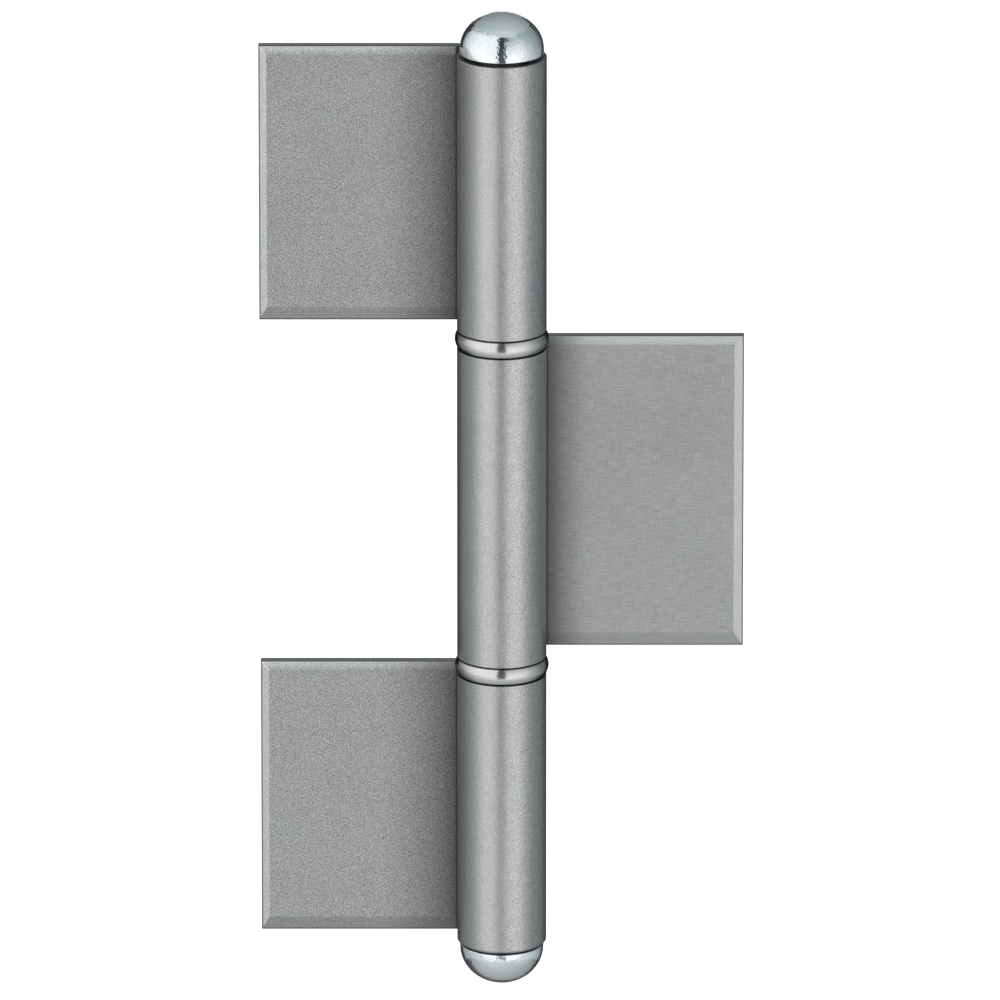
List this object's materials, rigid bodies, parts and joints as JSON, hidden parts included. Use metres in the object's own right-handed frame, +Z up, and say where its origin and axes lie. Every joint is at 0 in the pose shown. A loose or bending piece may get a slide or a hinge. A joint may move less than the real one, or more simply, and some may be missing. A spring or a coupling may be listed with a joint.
{
  "type": "weld-on hinge",
  "caption": "Weld-on hinge: bevelled sheet leaves rolled round one pin, with crowned bearing rings between the knuckles and domed ends on the barrel.",
  "frame": {"origin": "on the pin's axis, halfway between the tops of the two domed ends", "axes": "+Z up along the pin towards its head; +X towards the door leaf; +Y out of the rear faces of the leaves, which are welded"},
  "size_m": [0.108, 0.021, 0.227],
  "materials": {
    "leaf_steel": "bare mill-finished steel, satin, with a fine grain",
    "ring_steel": "turned steel, smoother and brighter than the leaves",
    "zinc_plate": "bright bluish zinc plating"
  },
  "bodies": {
    "frame_side": {"upper_leaf": "leaf_steel", "lower_leaf": "leaf_steel", "hinge_pin": "zinc_plate", "bottom_cap": "zinc_plate"},
    "door_side": {"middle_leaf": "leaf_steel"},
    "upper_ring": {"upper_bearing_ring": "ring_steel"},
    "lower_ring": {"lower_bearing_ring": "ring_steel"}
  },
  "joints": [
    {"name": "door_turn", "type": "hinge", "parent": "frame_side", "child": "door_side", "pos_m": [0, 0, 0], "axis": [0, 0, 1], "continuous": true},
    {"name": "upper_ring_turn", "type": "hinge", "parent": "frame_side", "child": "upper_ring", "pos_m": [0, 0, 0.03805], "axis": [0, 0, 1], "continuous": true},
    {"name": "lower_ring_turn", "type": "hinge", "parent": "frame_side", "child": "lower_ring", "pos_m": [0, 0, -0.03835], "axis": [0, 0, 1], "continuous": true}
  ]
}
